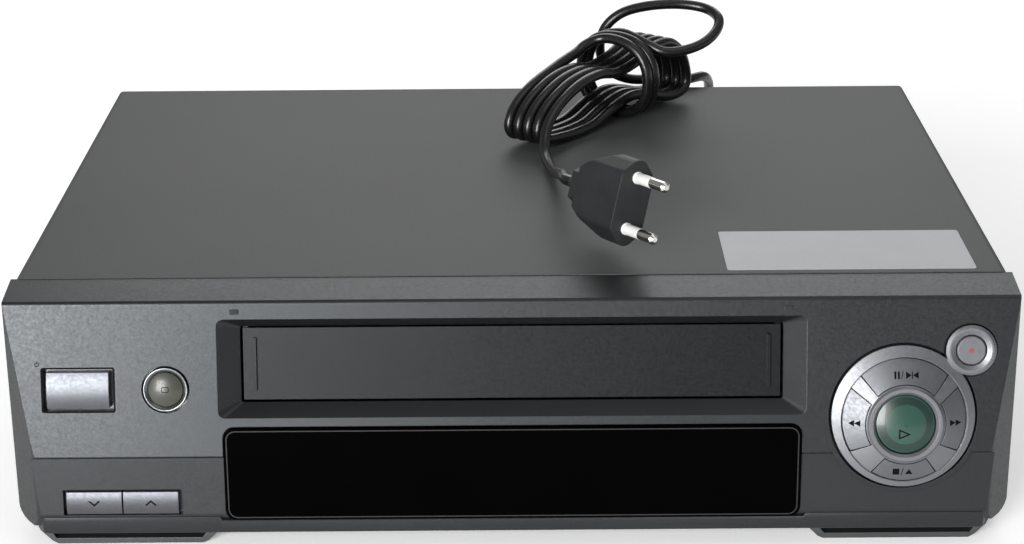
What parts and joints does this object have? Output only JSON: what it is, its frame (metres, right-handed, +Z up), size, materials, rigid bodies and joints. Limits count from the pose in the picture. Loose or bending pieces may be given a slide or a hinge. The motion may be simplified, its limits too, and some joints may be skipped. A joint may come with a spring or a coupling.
{
  "type": "video cassette recorder",
  "caption": "Front-loading video cassette recorder with a sloping silver front, a round control dial, a full tape mechanism inside and its mains cord hanked on the cover.",
  "frame": {"origin": "middle of the footprint, on the surface the feet stand on", "axes": "+X to the right seen from the front, +Y from front to back, +Z up"},
  "size_m": [0.3604, 0.3066, 0.1392],
  "materials": {
    "front_plastic": "silver-grey moulded plastic, satin",
    "smoked_window": "black gloss",
    "bezel_plastic": "silver-painted plastic",
    "cover_paint": "dark grey satin paint",
    "zinc_steel": "zinc-plated sheet",
    "foot_plastic": "silver-grey plastic",
    "foot_rubber": "black rubber",
    "dark_steel": "blackened steel",
    "black_plastic": "black plastic",
    "tin_plate": "tin-plated steel",
    "board_green": "circuit board",
    "board_tan": "phenolic circuit board",
    "display_glass": "display tube glass",
    "transformer_iron": "lacquered windings and core",
    "door_plastic": "dark silver plastic",
    "plated_steel": "plated steel",
    "white_plastic": "white acetal",
    "drum_aluminium": "turned aluminium",
    "drive_rubber": "black rubber",
    "button_silver": "silver-painted plastic",
    "button_olive": "grey dished plastic",
    "button_green": "translucent green plastic",
    "cord_rubber": "black flexible cord sheath",
    "plug_plastic": "black moulded plug",
    "pin_nickel": "nickel-plated brass"
  },
  "bodies": {
    "case": {"front_panel": "front_plastic", "display_window": "smoked_window", "control_bezel": "bezel_plastic", "top_cover": "cover_paint", "bottom_pan": "zinc_steel", "rear_panel": "zinc_steel", "foot_front_left": "foot_plastic", "foot_front_right": "foot_plastic", "rear_feet": "foot_rubber", "case_screws": "dark_steel", "scart_sockets": "black_plastic", "tuner": "tin_plate", "audio_jacks": "white_plastic", "cord_gland": "black_plastic", "main_board": "board_green", "board_parts": "black_plastic", "front_board": "board_green", "display_tube": "display_glass", "key_switches": "black_plastic", "power_board": "board_tan", "power_transformer": "transformer_iron", "mech_chassis": "plated_steel", "loader_side_left": "plated_steel", "loader_side_right": "plated_steel", "drum_base": "drum_aluminium", "tape_heads": "plated_steel", "capstan_motor": "board_tan", "loading_motor": "plated_steel", "cord_lead": "cord_rubber", "cord_hank": "cord_rubber", "cord_tail": "cord_rubber", "plug_body": "plug_plastic", "plug_pins": "pin_nickel"},
    "door": {"door": "door_plastic"},
    "slider": {"loader_slider": "plated_steel"},
    "holder": {"cassette_holder": "plated_steel"},
    "rack_gear": {"rack_pinion": "white_plastic"},
    "supply": {"supply_reel": "white_plastic"},
    "takeup": {"takeup_reel": "white_plastic"},
    "idler": {"idler_arm": "dark_steel"},
    "idler_roller": {"idler_wheel": "drive_rubber"},
    "drum": {"drum_rotor": "drum_aluminium"},
    "capstan": {"capstan": "plated_steel"},
    "pinch": {"pinch_arm": "dark_steel"},
    "pinch_wheel": {"pinch_roller": "drive_rubber"},
    "left_guide": {"guide_left": "plated_steel"},
    "right_guide": {"guide_right": "plated_steel"},
    "cam": {"cam_gear": "white_plastic"},
    "cam_pinion": {"drive_pinion": "white_plastic"},
    "power_key": {"power_button": "button_silver"},
    "one_touch_key": {"one_touch_button": "button_olive"},
    "channel_down_key": {"channel_down_button": "button_silver"},
    "channel_up_key": {"channel_up_button": "button_silver"},
    "pause_key": {"pause_button": "button_silver"},
    "rewind_key": {"rewind_button": "button_silver"},
    "forward_key": {"forward_button": "button_silver"},
    "stop_key": {"stop_button": "button_silver"},
    "play_key": {"play_button": "button_green"},
    "record_key": {"record_button": "button_silver"}
  },
  "joints": [
    {"name": "door_swing", "type": "hinge", "parent": "case", "child": "door", "pos_m": [0, -0.11864, 0.084], "axis": [1, 0, 0], "range_deg": [0, 100], "stiffness_Nm_per_rad": 0.01, "springref_deg": -17.19},
    {"name": "carriage_in", "type": "slide", "parent": "case", "child": "slider", "axis": [0, 1, 0], "range_m": [0, 0.058]},
    {"name": "carriage_down", "type": "slide", "parent": "slider", "child": "holder", "axis": [0, 0, -1], "range_m": [0, 0.018]},
    {"name": "rack_pinion_turn", "type": "hinge", "parent": "case", "child": "rack_gear", "pos_m": [0.0987, -0.03484, 0.072], "axis": [1, 0, 0], "range_deg": [-333, 0]},
    {"name": "supply_spin", "type": "hinge", "parent": "case", "child": "supply", "pos_m": [-0.04615, -0.04084, 0.0345], "axis": [0, 0, 1], "continuous": true},
    {"name": "takeup_spin", "type": "hinge", "parent": "case", "child": "takeup", "pos_m": [0.04615, -0.04084, 0.0345], "axis": [0, 0, 1], "continuous": true},
    {"name": "idler_swing", "type": "hinge", "parent": "case", "child": "idler", "pos_m": [0, -0.01284, 0.0345], "axis": [0, 0, 1], "range_deg": [-11, 11]},
    {"name": "idler_spin", "type": "hinge", "parent": "idler", "child": "idler_roller", "pos_m": [0, -0.04084, 0.0345], "axis": [0, 0, 1], "continuous": true},
    {"name": "drum_spin", "type": "hinge", "parent": "case", "child": "drum", "pos_m": [0, 0.07116, 0.0385], "axis": [0, -0.0872, 0.9962], "continuous": true},
    {"name": "capstan_spin", "type": "hinge", "parent": "case", "child": "capstan", "pos_m": [0.058, 0.02616, 0.033], "axis": [0, 0, 1], "continuous": true},
    {"name": "cam_turn", "type": "hinge", "parent": "case", "child": "cam", "pos_m": [-0.085, 0.05016, 0.0345], "axis": [0, 0, 1], "range_deg": [0, 160]},
    {"name": "cam_pinion_turn", "type": "hinge", "parent": "case", "child": "cam_pinion", "pos_m": [-0.085, 0.07896, 0.0345], "axis": [0, 0, 1], "range_deg": [-801, 0]},
    {"name": "left_guide_slide", "type": "slide", "parent": "case", "child": "left_guide", "axis": [0, 1, 0], "range_m": [0, 0.056]},
    {"name": "right_guide_slide", "type": "slide", "parent": "case", "child": "right_guide", "axis": [0, 1, 0], "range_m": [0, 0.056]},
    {"name": "pinch_swing", "type": "hinge", "parent": "case", "child": "pinch", "pos_m": [0.084, 0.03816, 0.0345], "axis": [0, 0, 1], "range_deg": [0, 36.2]},
    {"name": "pinch_roller_spin", "type": "hinge", "parent": "pinch", "child": "pinch_wheel", "pos_m": [0.06427, 0.04534, 0.0375], "axis": [0, 0, 1], "continuous": true},
    {"name": "power_press", "type": "slide", "parent": "case", "child": "power_key", "axis": [0, 0.9763, -0.2164], "range_m": [0, 0.001], "stiffness_N_per_m": 300, "springref_m": -0.002},
    {"name": "one_touch_press", "type": "slide", "parent": "case", "child": "one_touch_key", "axis": [0, 0.9763, -0.2164], "range_m": [0, 0.001], "stiffness_N_per_m": 300, "springref_m": -0.002},
    {"name": "channel_down_press", "type": "slide", "parent": "case", "child": "channel_down_key", "axis": [0, 0.9941, -0.1088], "range_m": [0, 0.001], "stiffness_N_per_m": 300, "springref_m": -0.002},
    {"name": "channel_up_press", "type": "slide", "parent": "case", "child": "channel_up_key", "axis": [0, 0.9941, -0.1088], "range_m": [0, 0.001], "stiffness_N_per_m": 300, "springref_m": -0.002},
    {"name": "pause_press", "type": "slide", "parent": "case", "child": "pause_key", "axis": [0, 0.9763, -0.2164], "range_m": [0, 0.001], "stiffness_N_per_m": 300, "springref_m": -0.002},
    {"name": "rewind_press", "type": "slide", "parent": "case", "child": "rewind_key", "axis": [0, 0.9763, -0.2164], "range_m": [0, 0.001], "stiffness_N_per_m": 300, "springref_m": -0.002},
    {"name": "forward_press", "type": "slide", "parent": "case", "child": "forward_key", "axis": [0, 0.9763, -0.2164], "range_m": [0, 0.001], "stiffness_N_per_m": 300, "springref_m": -0.002},
    {"name": "stop_press", "type": "slide", "parent": "case", "child": "stop_key", "axis": [0, 0.9763, -0.2164], "range_m": [0, 0.001], "stiffness_N_per_m": 300, "springref_m": -0.002},
    {"name": "play_press", "type": "slide", "parent": "case", "child": "play_key", "axis": [0, 0.9763, -0.2164], "range_m": [0, 0.001], "stiffness_N_per_m": 300, "springref_m": -0.002},
    {"name": "record_press", "type": "slide", "parent": "case", "child": "record_key", "axis": [0, 0.9763, -0.2164], "range_m": [0, 0.001], "stiffness_N_per_m": 300, "springref_m": -0.002}
  ],
  "couplings": [
    {"joint": "rack_pinion_turn", "follows": "carriage_in", "rad_per_m": -100},
    {"joint": "cam_pinion_turn", "follows": "cam_turn", "ratio": -5},
    {"joint": "left_guide_slide", "follows": "cam_turn", "m_per_rad": 0.02},
    {"joint": "right_guide_slide", "follows": "cam_turn", "m_per_rad": 0.02},
    {"joint": "pinch_swing", "follows": "cam_turn", "ratio": 0.225}
  ]
}
